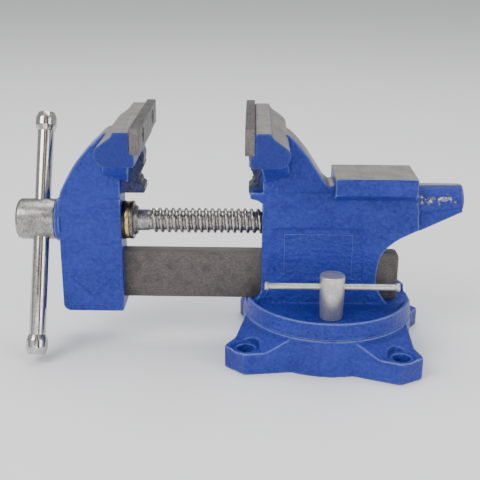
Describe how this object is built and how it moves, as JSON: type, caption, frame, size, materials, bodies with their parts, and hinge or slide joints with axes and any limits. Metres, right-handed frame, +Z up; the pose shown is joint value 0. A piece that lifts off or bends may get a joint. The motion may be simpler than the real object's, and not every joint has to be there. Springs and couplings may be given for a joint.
{
  "type": "bench vise",
  "caption": "Cast bench vise: flat slide bar, lead screw with tommy-bar handle, steel-faced jaws, pipe jaws, anvil, horn and a locking swivel base.",
  "frame": {"origin": "on the swivel axis in the plane of the bench top, at the centre of the circle of bench bolts", "axes": "+X runs along the slide bar from the handle end towards the horn; +Z points up, away from the bench; +Y completes a right-handed frame, across the jaws"},
  "size_m": [0.3427, 0.1559, 0.184],
  "materials": {
    "painted_casting": "glossy blue enamel on a cast skin, with bare machined anvil and jaw tops",
    "jaw_steel": "ground steel with a serrated face",
    "dark_steel": "dark hot-rolled steel, matte",
    "bright_steel": "bright turned steel",
    "plated_bar": "polished plating",
    "plated_lock": "satin nickel plating",
    "black_oxide": "blackened steel",
    "yellow_zinc": "yellow passivated washer",
    "grey_iron": "machined iron"
  },
  "bodies": {
    "base": {"swivel_base": "painted_casting"},
    "fixed_jaw": {"fixed_jaw_body": "painted_casting", "fixed_jaw_plate": "jaw_steel", "fixed_plate_screw_a": "black_oxide", "fixed_plate_screw_b": "black_oxide", "lead_nut": "grey_iron", "nut_pin": "dark_steel", "pivot_bolt": "black_oxide", "pivot_washer": "dark_steel", "lock_stud": "dark_steel"},
    "lock": {"lock_nut": "plated_lock"},
    "lock_tommy": {"lock_bar": "plated_lock"},
    "moving_jaw": {"moving_jaw_body": "painted_casting", "moving_jaw_plate": "jaw_steel", "moving_plate_screw_a": "black_oxide", "moving_plate_screw_b": "black_oxide", "slide_bar": "dark_steel", "bar_screw_a": "black_oxide", "bar_screw_b": "black_oxide", "spring_washer": "black_oxide", "thrust_washer": "yellow_zinc"},
    "spindle": {"lead_screw": "bright_steel", "retaining_collar": "dark_steel", "collar_pin": "bright_steel"},
    "handle": {"handle_bar": "plated_bar", "handle_knob_top": "plated_bar", "handle_knob_bottom": "plated_bar"}
  },
  "joints": [
    {"name": "swivel", "type": "hinge", "parent": "base", "child": "fixed_jaw", "pos_m": [0, 0, 0], "axis": [0, 0, 1], "range_deg": [-120, 120]},
    {"name": "jaw_slide", "type": "slide", "parent": "fixed_jaw", "child": "moving_jaw", "axis": [1, 0, 0], "range_m": [-0.003, 0.073]},
    {"name": "screw_turn", "type": "hinge", "parent": "moving_jaw", "child": "spindle", "pos_m": [-0.24, 0, 0.1], "axis": [1, 0, 0], "range_deg": [-220, 5180]},
    {"name": "handle_slide", "type": "slide", "parent": "spindle", "child": "handle", "axis": [0, 0.454, 0.891], "range_m": [-0.0537, 0.0733]},
    {"name": "lock_turn", "type": "hinge", "parent": "fixed_jaw", "child": "lock", "pos_m": [0, -0.03975, 0.05], "axis": [0, 0, 1], "range_deg": [-24, 24]},
    {"name": "lock_bar_slide", "type": "slide", "parent": "lock", "child": "lock_tommy", "axis": [-1, 0, 0], "range_m": [-0.037, 0.037]}
  ],
  "couplings": [
    {"joint": "screw_turn", "follows": "jaw_slide", "rad_per_m": 1236.8}
  ]
}
